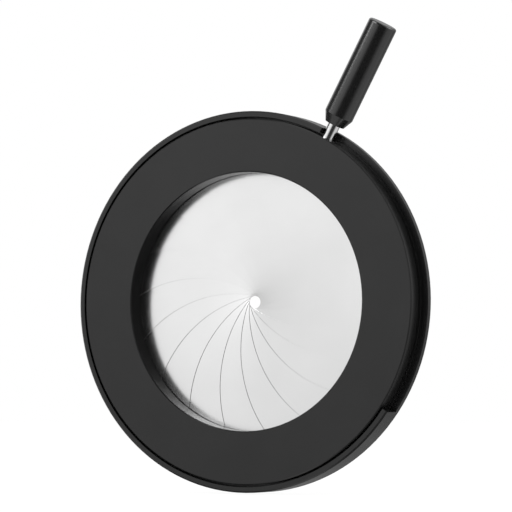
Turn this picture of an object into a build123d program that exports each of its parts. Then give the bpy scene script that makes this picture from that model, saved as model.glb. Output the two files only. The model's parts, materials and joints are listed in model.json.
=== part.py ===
"""Iris diaphragm: a lever-operated leaf aperture in a round cup housing.

The optical axis lies along Y and the front faces -Y, with +Z up.  The origin is on the
optical axis in the rear face.  Sketches of the disc use Plane.XZ, where a height is the
distance in front of the rear face, and angles run counter-clockwise seen from the front.
The leaves are modelled closed down; turning the lever clockwise opens them.
"""

import os
from math import acos, asin, atan2, cos, degrees, hypot, radians, sin

from build123d import *

# Driving dimensions, in mm and degrees.
bore_radius = 25.1  # clear opening in the ring and in the base
closed_radius = 1.2  # aperture left when closed down
leaf_count = 18
leaf_thickness = 0.04
leaf_gap = 0.047  # least free height between neighbouring leaves
leaf_inset = 1.1  # how far an open leaf hides behind the bore
pivot_offset = 6.1  # from the bore to the pivot circle
stud_margin = 2.4  # metal round each stud, and the radius of a leaf's ends
cam_offset = 1.56  # from the bore to a cam stud at its nearest
leaf_taper = 6.0  # angle over which each end of a leaf narrows
sheet_margin = 0.3  # a leaf is cut from a warped sheet this much wider, by radius
sheet_margin_angle = 2.0  # and this much longer at each end
sheet_rows = 12  # strips of the sheet's grid, across it and along it
sheet_columns = 60
sheet_degree = 5
sheet_tolerance = 0.01
flare_share = 0.5  # share of a leaf's rise that spreads the leaves when open
pattern_angle = 5.0  # pivot of the first leaf

stud_radius = 0.5
pivot_clearance = 0.04
stud_recess = 0.1  # pivot ends lie this far inside the rear face
cam_engagement = 0.8
cam_clearance = 0.15
seat_gap = 0.01  # between a stud's shoulder and its leaf

base_thickness = 0.4
stack_clearance = 0.05  # between the leaves and the faces above and below them
tip_clearance = 0.31  # between the leaf tips and the cup
ledge_width = 0.7  # the rotor ring turns on this ledge
rotor_clearance = 0.03
rim_wall = 1.1
rim_setback = 0.3  # the ring stands proud of the rim by this much
rim_chamfer = 0.3
rear_chamfer = 0.3

ring_thickness = 4.0
flange_thickness = 0.55
running_clearance = 0.08
ring_chamfer = 0.2  # on the front face's two edges
relief_chamfer = 0.3  # behind, round the bore

retainer_section = 0.6  # the retaining ring is square in section
retainer_grip = 0.3  # part of it that lies in the groove
retainer_clearance = 0.15
retainer_end_angle = 2.0  # from each of its ends to the cut-out
groove_clearance = 0.02

lever_angle = 61.2
lever_depth = 2.0  # lever axis behind the ring's face, halfway through the ring
pin_radius = 1.2
pin_thread_radius = 0.9
pin_thread_length = 2.5
pin_sink = 0.25  # depth of the spot face in the ring's edge
pin_visible = 3.05
thread_clearance = 0.03
stop_clearance = 0.15  # free angle at each end of the lever's travel
cutout_floor = 1.55

knob_radius = 2.85
knob_length = 21.5
knob_neck_radius = 1.95
knob_neck_length = 1.9
knob_edge_radius = 0.45
knob_thread_depth = 8.0

# Sizes that follow.
leaf_inner_radius = bore_radius + leaf_inset
pivot_radius = bore_radius + pivot_offset
leaf_outer_radius = pivot_radius + stud_margin
leaf_span = 2 * degrees(asin((pivot_radius + bore_radius + cam_offset) / (2 * pivot_radius)))
leaf_pitch = 360 / leaf_count
leaf_swing = 2 * degrees(asin((leaf_inner_radius - closed_radius) / (2 * pivot_radius)))
lever_travel = 2 * leaf_swing


def polar(radius, angle):
    """A point of the disc from its radius and angle."""
    return (radius * cos(radians(angle)), radius * sin(radians(angle)))


def angle_about(point, centre, middle):
    """The angle of a point seen from a centre, continuous for half a turn each side of middle."""
    angle = degrees(atan2(point[1] - centre[1], point[0] - centre[0]))
    return (angle - middle + 180) % 360 - 180 + middle


def swing_point(point, angle):
    """A point of the open leaf after the leaf turns about its pivot, (pivot_radius, 0)."""
    reach = hypot(point[0] - pivot_radius, point[1])
    start = degrees(atan2(point[1], point[0] - pivot_radius))
    x, y = polar(reach, start + angle)
    return (x + pivot_radius, y)


# A leaf is laid out open, as an arc about the optical axis with its pivot at angle 0.
pivot_point = (pivot_radius, 0.0)
cam_point = polar(pivot_radius, leaf_span)
axis_when_closed = swing_point((0.0, 0.0), -leaf_swing)
leaf_step = leaf_thickness + leaf_gap


def leaf_rise(point):
    """Height of an open leaf's surface over a flat sheet.

    It climbs with the angle about the optical axis, taken once in the closed and once in
    the open position, so each leaf clears the next one all through its swing.
    """
    closed_turn = angle_about(point, axis_when_closed, leaf_span / 2)
    open_turn = angle_about(point, (0.0, 0.0), leaf_span / 2)
    return leaf_step * (closed_turn + flare_share * open_turn) / leaf_pitch


# The leaf's lowest and highest places are on the rounds at its two ends.
bearing_step = 10
end_rises = []
for centre in (pivot_point, cam_point):
    for bearing in range(0, 360, bearing_step):
        x, y = polar(stud_margin, bearing)
        end_rises.append(leaf_rise((centre[0] + x, centre[1] + y)))
leaf_floor = base_thickness + stack_clearance - min(end_rises)
stack_top = leaf_floor + max(end_rises) + leaf_thickness

ring_rear = stack_top + stack_clearance
ring_face = ring_rear + ring_thickness
flange_face = ring_rear + flange_thickness
rim_face = ring_face - rim_setback
lever_height = ring_face - lever_depth

closed_cam = swing_point(cam_point, leaf_swing)
ledge_radius = hypot(*closed_cam) + stud_margin + tip_clearance
cup_radius = ledge_radius + ledge_width
outer_radius = cup_radius + rim_wall
flange_radius = cup_radius - running_clearance
retainer_radius = cup_radius + retainer_grip - retainer_section / 2
retainer_height = flange_face + groove_clearance + retainer_section / 2
ring_radius = retainer_radius - retainer_section / 2 - retainer_clearance

pin_seat_radius = ring_radius - pin_sink
knob_start_radius = ring_radius + pin_visible
pin_half_angle = degrees(asin(pin_radius / cup_radius))
cutout_start = lever_angle + pin_half_angle + stop_clearance
cutout_end = lever_angle - lever_travel - pin_half_angle - stop_clearance

# The path of a cam stud over the ring, which turns twice as far as the leaf does.
path_steps = 24
path_radii = []
path_angles = []
for step in range(path_steps + 1):
    swing = leaf_swing * step / path_steps
    x, y = swing_point(cam_point, swing)
    path_radii.append(hypot(x, y))
    path_angles.append(degrees(atan2(y, x)) % 360 + 2 * (leaf_swing - swing))
slot_angle = (max(path_angles) + min(path_angles)) / 2
slot_half_width = stud_radius + cam_clearance + max(path_radii) * radians(max(path_angles) - slot_angle)
slot_inner = min(path_radii) - stud_radius - 2 * cam_clearance
slot_outer = max(path_radii) + stud_radius + 2 * cam_clearance
slot_depth = cam_engagement + cam_clearance

# Radius runs along X and height in front of the rear face along -Y, for turned sections.
turning_plane = Plane(origin=(0, 0, 0), x_dir=(1, 0, 0), z_dir=(0, 0, -1))
lever_plane = Plane(
    origin=(0, -lever_height, 0),
    x_dir=(0, -1, 0),
    z_dir=(cos(radians(lever_angle)), 0, sin(radians(lever_angle))),
)

os.makedirs("parts", exist_ok=True)


def save(builder, name):
    """Label a finished piece and write its STEP file."""
    builder.part.label = name
    export_step(builder.part, f"parts/{name}.step")


# Cup housing: base plate, ledge and rim, with the lever's cut-out in the rim.
with BuildPart() as housing:
    with BuildSketch(turning_plane):
        with BuildLine():
            Polyline(
                (bore_radius, 0),
                (outer_radius, 0),
                (outer_radius, rim_face),
                (cup_radius, rim_face),
                (cup_radius, ring_rear - rotor_clearance),
                (ledge_radius, ring_rear - rotor_clearance),
                (ledge_radius, base_thickness),
                (bore_radius, base_thickness),
                close=True,
            )
        make_face()
    revolve(axis=Axis.Y)
    outer_edges = housing.edges().filter_by(GeomType.CIRCLE).group_by(SortBy.RADIUS)[-1].sort_by(Axis.Y)
    chamfer(outer_edges[0], rim_chamfer)
    chamfer(outer_edges[-1], rear_chamfer)
    with BuildSketch(turning_plane):
        groove_section = retainer_section + 2 * groove_clearance
        with Locations((retainer_radius, retainer_height)):
            Rectangle(groove_section, groove_section)
    revolve(axis=Axis.Y, mode=Mode.SUBTRACT)
    with BuildSketch(Plane.XZ.offset(cutout_floor)):
        with BuildLine():
            outside = CenterArc((0, 0), outer_radius + rim_wall, cutout_end, cutout_start - cutout_end)
            inside = CenterArc((0, 0), cup_radius, cutout_end, cutout_start - cutout_end)
            Line(outside @ 0, inside @ 0)
            Line(outside @ 1, inside @ 1)
        make_face()
    extrude(amount=rim_face, mode=Mode.SUBTRACT)
    with BuildSketch(Plane.XZ):
        with PolarLocations(pivot_radius, leaf_count, start_angle=pattern_angle):
            Circle(stud_radius + pivot_clearance)
    extrude(amount=base_thickness, mode=Mode.SUBTRACT)
save(housing, "cup_housing")

# Actuating ring: a bearing flange at the rear, a proud front and blind cam slots behind.
with BuildPart() as ring:
    with BuildSketch(turning_plane):
        with BuildLine():
            Polyline(
                (bore_radius, ring_rear),
                (flange_radius, ring_rear),
                (flange_radius, flange_face),
                (ring_radius, flange_face),
                (ring_radius, ring_face),
                (bore_radius, ring_face),
                close=True,
            )
        make_face()
    revolve(axis=Axis.Y)
    rear_edges = ring.edges().filter_by(GeomType.CIRCLE).group_by(Axis.Y)[-1]
    chamfer(ring.edges().filter_by(GeomType.CIRCLE).group_by(Axis.Y)[0], ring_chamfer)
    chamfer(rear_edges.sort_by(SortBy.RADIUS)[0], relief_chamfer)
    with BuildSketch(Plane.XZ.offset(ring_rear)):
        with PolarLocations((slot_inner + slot_outer) / 2, leaf_count, pattern_angle + slot_angle):
            Rectangle(slot_outer - slot_inner, 2 * slot_half_width)
    extrude(amount=slot_depth, mode=Mode.SUBTRACT)
    with BuildSketch(lever_plane.offset(pin_seat_radius)):
        Circle(pin_radius + thread_clearance)
    extrude(amount=flange_radius, mode=Mode.SUBTRACT)
    with BuildSketch(lever_plane.offset(pin_seat_radius)):
        Circle(pin_thread_radius + thread_clearance)
    extrude(amount=-pin_thread_length - thread_clearance, mode=Mode.SUBTRACT)
save(ring, "actuating_ring")

# Retaining ring: a sprung part circle in the rim's groove, over the actuating ring's flange.
with BuildPart() as retainer:
    start = cutout_start + retainer_end_angle
    sweep = 360 - (cutout_start - cutout_end) - 2 * retainer_end_angle
    across, up = polar(1, start)
    with BuildSketch(Plane(origin=(0, 0, 0), x_dir=(across, 0, up), z_dir=(up, 0, -across))):
        with Locations((retainer_radius, retainer_height)):
            Rectangle(retainer_section, retainer_section)
    revolve(axis=Axis((0, 0, 0), (0, -1, 0)), revolution_arc=sweep)
save(retainer, "retaining_ring")

# Lever pin: a plain pin with a thinner threaded end at each side.
with BuildPart() as pin:
    with BuildSketch(lever_plane.offset(pin_seat_radius)):
        Circle(pin_radius)
    extrude(amount=knob_start_radius - pin_seat_radius)
    with BuildSketch(lever_plane.offset(pin_seat_radius - pin_thread_length)):
        Circle(pin_thread_radius)
    extrude(amount=pin_thread_length)
    with BuildSketch(lever_plane.offset(knob_start_radius)):
        Circle(pin_thread_radius)
    extrude(amount=knob_thread_depth - thread_clearance)
save(pin, "lever_pin")

# Lever knob: a turned grip, tapered at its foot and rounded at its tip.
with BuildPart() as knob:
    with BuildSketch(Plane(origin=lever_plane.origin, x_dir=(0, -1, 0), z_dir=-lever_plane.y_dir)):
        with BuildLine():
            Polyline(
                (0, knob_start_radius),
                (knob_neck_radius, knob_start_radius),
                (knob_radius, knob_start_radius + knob_neck_length),
                (knob_radius, knob_start_radius + knob_length),
                (0, knob_start_radius + knob_length),
                close=True,
            )
        make_face()
    lever_axis = Axis(lever_plane.origin, lever_plane.z_dir)
    revolve(axis=lever_axis)
    fillet(knob.edges().filter_by(GeomType.CIRCLE).group_by(lever_axis)[-1], knob_edge_radius)
    with BuildSketch(lever_plane.offset(knob_start_radius)):
        Circle(pin_thread_radius + thread_clearance)
    extrude(amount=knob_thread_depth, mode=Mode.SUBTRACT)
save(knob, "lever_knob")


def leaf_surface():
    """The rear surface of an open leaf, a little larger than its outline."""
    first_radius = leaf_inner_radius - sheet_margin
    radial_step = (leaf_outer_radius + sheet_margin - first_radius) / sheet_rows
    end_angle = degrees(asin(stud_margin / pivot_radius)) + sheet_margin_angle
    angular_step = (leaf_span + 2 * end_angle) / sheet_columns
    rows = []
    for i in range(sheet_rows + 1):
        row = []
        for j in range(sheet_columns + 1):
            x, y = polar(first_radius + i * radial_step, j * angular_step - end_angle)
            row.append((x, -leaf_floor - leaf_rise((x, y)), y))
        rows.append(row)
    return Face.make_surface_from_array_of_points(rows, tol=sheet_tolerance, max_deg=sheet_degree)


# One leaf as it lies when open: a crescent cut from a thin warped sheet.
with BuildPart() as sheet:
    extrude(leaf_surface(), amount=leaf_thickness, dir=(0, -1, 0))

foot_corner = polar(leaf_inner_radius, leaf_taper)
tip_corner = polar(leaf_inner_radius, leaf_span - leaf_taper)
corner_x = foot_corner[0] - pivot_radius
corner_reach = hypot(corner_x, foot_corner[1])
corner_turn = degrees(atan2(foot_corner[1], corner_x) + acos(stud_margin / corner_reach))

with BuildPart() as leaf:
    with BuildSketch(Plane.XZ.offset(base_thickness)):
        with BuildLine():
            CenterArc((0, 0), leaf_outer_radius, 0, leaf_span)
            CenterArc((0, 0), leaf_inner_radius, leaf_taper, leaf_span - 2 * leaf_taper)
            foot_round = CenterArc(pivot_point, stud_margin, 0, corner_turn - 360)
            tip_round = CenterArc(cam_point, stud_margin, leaf_span, 360 - corner_turn)
            Line(foot_corner, foot_round @ 1)
            Line(tip_corner, tip_round @ 1)
        make_face()
    extrude(amount=ring_rear - base_thickness)
    add(sheet.part, mode=Mode.INTERSECT)

# The two studs of a leaf: the pivot behind it and the cam stud in front, each riveted flush.
pivot_shoulder = leaf_floor + leaf_rise(pivot_point) - seat_gap
cam_shoulder = leaf_floor + leaf_rise(cam_point) + leaf_thickness + seat_gap
with BuildPart() as studs:
    with BuildSketch(Plane.XZ.offset(stud_recess)):
        with Locations(pivot_point):
            Circle(stud_radius)
    extrude(amount=pivot_shoulder - stud_recess)
    with BuildSketch(Plane.XZ.offset(cam_shoulder)):
        with Locations(cam_point):
            Circle(stud_radius)
    extrude(amount=ring_rear + cam_engagement - cam_shoulder)


def closed_seat(index):
    """Where a leaf stands when closed down, as a move from its open layout."""
    turn = pattern_angle + index * leaf_pitch
    centre = swing_point((0, 0), leaf_swing)
    reach = hypot(*centre)
    bearing = degrees(atan2(centre[1], centre[0])) + turn
    x, z = polar(reach, bearing)
    across, up = polar(1, turn + leaf_swing)
    seat = Plane(origin=(x, 0, z), x_dir=(across, 0, up), z_dir=(0, -1, 0))
    return seat.location * Plane.XZ.location.inverse()


for index in range(leaf_count):
    with BuildPart() as seated_leaf:
        with Locations(closed_seat(index)):
            add(leaf.part)
    save(seated_leaf, f"leaf_{index + 1:02d}")
    with BuildPart() as seated_studs:
        with Locations(closed_seat(index)):
            add(studs.part)
    save(seated_studs, f"leaf_studs_{index + 1:02d}")
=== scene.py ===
"""The look of the iris diaphragm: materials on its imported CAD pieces, a white studio, the camera."""

import json
import math

import bpy
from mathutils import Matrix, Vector


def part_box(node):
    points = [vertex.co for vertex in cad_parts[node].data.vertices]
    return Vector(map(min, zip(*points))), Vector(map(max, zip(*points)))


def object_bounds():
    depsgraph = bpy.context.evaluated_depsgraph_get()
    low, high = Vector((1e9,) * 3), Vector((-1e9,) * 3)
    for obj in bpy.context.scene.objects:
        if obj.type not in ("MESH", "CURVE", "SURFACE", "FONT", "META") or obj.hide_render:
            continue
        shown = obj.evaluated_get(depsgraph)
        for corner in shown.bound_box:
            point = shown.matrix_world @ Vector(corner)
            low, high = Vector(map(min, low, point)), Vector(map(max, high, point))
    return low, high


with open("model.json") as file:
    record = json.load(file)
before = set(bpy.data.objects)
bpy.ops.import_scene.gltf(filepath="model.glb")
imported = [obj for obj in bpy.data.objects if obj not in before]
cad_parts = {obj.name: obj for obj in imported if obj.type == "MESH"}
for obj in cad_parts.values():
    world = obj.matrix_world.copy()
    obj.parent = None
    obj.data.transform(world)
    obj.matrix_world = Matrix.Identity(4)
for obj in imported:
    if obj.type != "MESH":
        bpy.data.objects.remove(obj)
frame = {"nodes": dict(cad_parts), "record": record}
cad_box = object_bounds()

MM = 0.001
WHITE = (1.0, 1.0, 1.0, 1.0)


# ---------------------------------------------------------------- nodes

# Blender's noise seldom leaves this range, so colours and roughness are spread over it.
NOISE_LOW = 0.3
NOISE_HIGH = 0.7
NOISE_DETAIL = 3.0


def grey(value):
    """An opaque grey."""
    return (value, value, value, 1.0)


def node(tree, kind, **inputs):
    """A new node with the named input sockets set."""
    made = tree.nodes.new(kind)
    for name, value in inputs.items():
        made.inputs[name.replace("_", " ")].default_value = value
    return made


def new_material(name):
    """A new material, its node tree and its shader."""
    material = bpy.data.materials.new(name)
    material.use_nodes = True
    tree = material.node_tree
    return material, tree, tree.nodes["Principled BSDF"]


def object_place(tree, scale=(1, 1, 1)):
    """The surface's place in the part's frame, in millimetres, stretched by scale."""
    coordinates = tree.nodes.new("ShaderNodeTexCoord")
    mapping = node(tree, "ShaderNodeMapping", Scale=[s / MM for s in scale])
    tree.links.new(coordinates.outputs["Object"], mapping.inputs["Vector"])
    return mapping.outputs["Vector"]


def noise(tree, place, per_mm):
    """A noise value over the surface, with its scale in cycles per millimetre."""
    made = node(tree, "ShaderNodeTexNoise", Scale=per_mm, Detail=NOISE_DETAIL)
    tree.links.new(place, made.inputs["Vector"])
    return made.outputs["Fac"]


def vary_tone(tree, shader, value, dark, light):
    """Lets a noise value set the shader's colour between two greys."""
    ramp = tree.nodes.new("ShaderNodeValToRGB")
    first, last = ramp.color_ramp.elements
    first.position, first.color = NOISE_LOW, grey(dark)
    last.position, last.color = NOISE_HIGH, grey(light)
    tree.links.new(value, ramp.inputs["Fac"])
    tree.links.new(ramp.outputs["Color"], shader.inputs["Base Color"])


def vary_roughness(tree, shader, value, low, high):
    """Lets a noise value set the shader's roughness between two values."""
    ranged = node(
        tree, "ShaderNodeMapRange",
        From_Min=NOISE_LOW, From_Max=NOISE_HIGH, To_Min=low, To_Max=high,
    )
    tree.links.new(value, ranged.inputs["Value"])
    tree.links.new(ranged.outputs["Result"], shader.inputs["Roughness"])


def bump(tree, shader, value, depth):
    """Lets a noise value raise the surface, by up to depth."""
    made = node(tree, "ShaderNodeBump", Strength=1.0, Distance=depth)
    tree.links.new(value, made.inputs["Height"])
    tree.links.new(made.outputs["Normal"], shader.inputs["Normal"])


def mixed(tree, share, first, second, out):
    """Sends a mix of two shaders to an output, with a share of the second."""
    mix = tree.nodes.new("ShaderNodeMixShader")
    tree.links.new(share, mix.inputs[0])
    tree.links.new(first.outputs[0], mix.inputs[1])
    tree.links.new(second.outputs[0], mix.inputs[2])
    tree.links.new(mix.outputs[0], out.inputs["Surface"])


# ---------------------------------------------------------------- materials

def anodised_black():
    """Satin black anodised aluminium with a faint blasted grain."""
    material, tree, shader = new_material("anodised_black")
    place = object_place(tree)
    grain = noise(tree, place, per_mm=6.0)
    cloud = noise(tree, place, per_mm=0.12)
    vary_tone(tree, shader, cloud, dark=0.008, light=0.011)
    vary_roughness(tree, shader, grain, low=0.20, high=0.26)
    shader.inputs["Specular IOR Level"].default_value = 0.47
    bump(tree, shader, grain, depth=0.004 * MM)
    return material


def black_knob():
    """The grip's black, smoother than the ring, with faint turning marks."""
    material, tree, shader = new_material("black_knob")
    marks = noise(tree, object_place(tree), per_mm=2.5)
    vary_tone(tree, shader, marks, dark=0.009, light=0.013)
    vary_roughness(tree, shader, marks, low=0.15, high=0.22)
    shader.inputs["Specular IOR Level"].default_value = 0.76
    bump(tree, shader, marks, depth=0.003 * MM)
    return material


def leaf_steel():
    """Thin rolled spring steel, polished, with faint rolling marks along X."""
    material, tree, shader = new_material("leaf_steel")
    rolled = noise(tree, object_place(tree, scale=(0.4, 1.0, 9.0)), per_mm=0.7)
    cloud = noise(tree, object_place(tree), per_mm=0.07)
    vary_tone(tree, shader, cloud, dark=0.87, light=0.92)
    vary_roughness(tree, shader, rolled, low=0.18, high=0.22)
    shader.inputs["Metallic"].default_value = 1.0
    return material


def turned_steel(name, per_mm, tone, roughness):
    """Steel with fine turning marks, in a range of tones and of roughness."""
    material, tree, shader = new_material(name)
    marks = noise(tree, object_place(tree), per_mm)
    vary_tone(tree, shader, marks, *tone)
    vary_roughness(tree, shader, marks, *roughness)
    shader.inputs["Metallic"].default_value = 1.0
    return material


def bright_steel():
    """The lever pin's and the studs' bright turned steel."""
    return turned_steel("bright_steel", per_mm=8.0, tone=(0.78, 0.9), roughness=(0.08, 0.14))


def blued_spring_steel():
    """The retaining ring's dark blued steel."""
    return turned_steel("blued_spring_steel", per_mm=3.0, tone=(0.03, 0.05), roughness=(0.3, 0.4))


def dress():
    """Gives every CAD node the material that its slot in the record names."""
    makers = (anodised_black, black_knob, leaf_steel, bright_steel, blued_spring_steel)
    made = {maker.__name__: maker() for maker in makers}
    for part in frame["record"]["subparts"]:
        mesh = frame["nodes"][part["node"]].data
        mesh.materials.clear()
        mesh.materials.append(made[part["material_slot"]])


# ---------------------------------------------------------------- studio

AMBIENT = 0.55

FLOOR_SIZE = 4.0
FLOOR_GAP = 0.2 * MM  # between the floor and the part's lowest point
FLOOR_TONE = 0.8
FLOOR_ROUGHNESS = 0.9
FLOOR_GLOW = 1.1
FLOOR_GLOW_SHARE = 0.85  # the rest is lit, and shows the part's shadow

# Dark cards round the part, which only reflections see: four azimuths, four elevations and a shade.
# From the first to the second angle a card fades in, and from the third to the fourth it fades out.
CARDS = {
    "card_at_camera": ((-14, 4, 50, 82), (-80, -70, 70, 80), 0.96),
    "card_at_left": ((-120, -104, -70, -58), (-80, -70, 70, 80), 0.88),
    "card_behind": ((134, 148, 206, 232), (-80, -70, 28, 50), 0.55),
    "card_below": ((-180, -179, 179, 180), (-80, -70, -6, 7), 0.34),
}
CARD_DISTANCE = 1.5
CARD_TONE = 0.02
CARD_COLUMNS = 90
CARD_ROWS = 48

# Soft lamps: azimuth, elevation, distance, size and power.
SOFTBOXES = {
    "key": (-40, 40, 0.8, 0.5, 3.0),
    "fill": (110, 30, 0.9, 0.4, 1.5),
}


def direction(azimuth, elevation):
    a, e = math.radians(azimuth), math.radians(elevation)
    return Vector((math.sin(a) * math.cos(e), -math.cos(a) * math.cos(e), math.sin(e)))


def add_to_scene(name, data):
    """A new object in the scene."""
    made = bpy.data.objects.new(name, data)
    bpy.context.scene.collection.objects.link(made)
    return made


def seen_directly(tree):
    """1 for rays from the camera and for those that metal or glass send on, 0 for the rest."""
    path = tree.nodes.new("ShaderNodeLightPath")
    seen = path.outputs["Is Camera Ray"]
    for sent_on in ("Is Glossy Ray", "Is Transmission Ray"):
        either = tree.nodes.new("ShaderNodeMath")
        either.operation = "MAXIMUM"
        tree.links.new(seen, either.inputs[0])
        tree.links.new(path.outputs[sent_on], either.inputs[1])
        seen = either.outputs[0]
    return seen


def make_world():
    """White to the camera, to metal and to glass, and an even softer light otherwise."""
    world = bpy.data.worlds.new("studio")
    world.use_nodes = True
    tree = world.node_tree
    tree.nodes.clear()
    ambient = node(tree, "ShaderNodeBackground", Color=WHITE, Strength=AMBIENT)
    white = node(tree, "ShaderNodeBackground", Color=WHITE, Strength=1.0)
    out = tree.nodes.new("ShaderNodeOutputWorld")
    mixed(tree, seen_directly(tree), ambient, white, out)
    bpy.context.scene.world = world


def make_floor():
    """A plain pale floor under the part, which shows white and keeps a soft shadow.

    Reflections look through it to the cards and the white world below.
    """
    height = cad_box[0].z - FLOOR_GAP
    bpy.ops.mesh.primitive_plane_add(size=FLOOR_SIZE, location=(0, 0, height))
    floor = bpy.context.object
    floor.name = "floor"
    material, tree, shader = new_material("pale_floor")
    shader.inputs["Base Color"].default_value = grey(FLOOR_TONE)
    shader.inputs["Roughness"].default_value = FLOOR_ROUGHNESS
    glow = node(tree, "ShaderNodeEmission", Color=WHITE, Strength=FLOOR_GLOW)
    share = tree.nodes.new("ShaderNodeMath")
    share.operation = "MULTIPLY"
    share.inputs[1].default_value = FLOOR_GLOW_SHARE
    tree.links.new(seen_directly(tree), share.inputs[0])
    mixed(tree, share.outputs[0], shader, glow, tree.nodes["Material Output"])
    floor.data.materials.append(material)
    floor.visible_glossy = False


def card_cloth():
    """Black cloth that is clear where the card's own shade is 0."""
    material = bpy.data.materials.new("card_cloth")
    material.use_nodes = True
    tree = material.node_tree
    tree.nodes.clear()
    cloth = node(tree, "ShaderNodeBsdfDiffuse", Color=grey(CARD_TONE))
    clear = tree.nodes.new("ShaderNodeBsdfTransparent")
    shade = tree.nodes.new("ShaderNodeAttribute")
    shade.attribute_name = "shade"
    out = tree.nodes.new("ShaderNodeOutputMaterial")
    mixed(tree, shade.outputs["Fac"], clear, cloth, out)
    return material


def fading(angle, stops):
    """0 outside four rising stops, 1 between the middle two, and even slopes between."""
    rise = (angle - stops[0]) / (stops[1] - stops[0])
    fall = (stops[3] - angle) / (stops[3] - stops[2])
    return max(0.0, min(1.0, rise, fall))


def card_mesh(name, azimuths, elevations, shade):
    """A piece of a sphere round the part whose points each hold their shade."""
    points, shades, faces = [], [], []
    for row in range(CARD_ROWS + 1):
        elevation = elevations[0] + (elevations[3] - elevations[0]) * row / CARD_ROWS
        for column in range(CARD_COLUMNS + 1):
            azimuth = azimuths[0] + (azimuths[3] - azimuths[0]) * column / CARD_COLUMNS
            points.append(direction(azimuth, elevation) * CARD_DISTANCE)
            shades.append(shade * fading(azimuth, azimuths) * fading(elevation, elevations))
    above = CARD_COLUMNS + 1
    for row in range(CARD_ROWS):
        for column in range(CARD_COLUMNS):
            corner = row * above + column
            faces.append((corner, corner + 1, corner + above + 1, corner + above))
    mesh = bpy.data.meshes.new(name)
    mesh.from_pydata(points, [], faces)
    mesh.attributes.new("shade", "FLOAT", "POINT").data.foreach_set("value", shades)
    return mesh


def make_cards():
    """The dark cards, which hold back no light and which the camera doesn't see."""
    cloth = card_cloth()
    for name, (azimuths, elevations, shade) in CARDS.items():
        mesh = card_mesh(name, azimuths, elevations, shade)
        mesh.materials.append(cloth)
        card = add_to_scene(name, mesh)
        card.visible_camera = False
        card.visible_diffuse = False
        card.visible_transmission = False
        card.visible_shadow = False


def make_softboxes():
    """Square area lamps that face the part."""
    for name, (azimuth, elevation, distance, size, power) in SOFTBOXES.items():
        lamp = bpy.data.lights.new(name, "AREA")
        lamp.shape = "SQUARE"
        lamp.size = size
        lamp.energy = power
        way = direction(azimuth, elevation)
        holder = add_to_scene(name, lamp)
        holder.location = way * distance
        holder.rotation_mode = "QUATERNION"
        holder.rotation_quaternion = way.to_track_quat("Z", "Y")


# ---------------------------------------------------------------- camera

CAMERA_AZIMUTH = 27.10
CAMERA_ELEVATION = -2.95
CAMERA_DISTANCE = 561.7 * MM
CAMERA_RIGHT = 2.08 * MM
CAMERA_RISE = 8.80 * MM
CAMERA_ANGLE = 10.09
CAMERA_NEAR = 10 * MM
CAMERA_FAR = 20.0
SENSOR = 36.0
RIM_CHAMFER = 0.3 * MM


def make_camera():
    """The camera, aimed from the middle of the cup's front rim."""
    cup_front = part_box("cup_housing")[0].y
    rim_centre = Vector((0, cup_front + RIM_CHAMFER, 0))
    back = direction(CAMERA_AZIMUTH, CAMERA_ELEVATION)
    turn = back.to_track_quat("Z", "Y")
    data = bpy.data.cameras.new("camera")
    data.sensor_width = SENSOR
    data.lens = SENSOR / 2 / math.tan(math.radians(CAMERA_ANGLE) / 2)
    data.clip_start = CAMERA_NEAR
    data.clip_end = CAMERA_FAR
    camera = add_to_scene("camera", data)
    camera.rotation_mode = "QUATERNION"
    camera.rotation_quaternion = turn
    shift = turn @ Vector((CAMERA_RIGHT, CAMERA_RISE, 0))
    camera.location = rim_centre + back * CAMERA_DISTANCE + shift
    bpy.context.scene.camera = camera


dress()
make_world()
make_floor()
make_cards()
make_softboxes()
make_camera()
bpy.context.scene.view_settings.view_transform = "Standard"
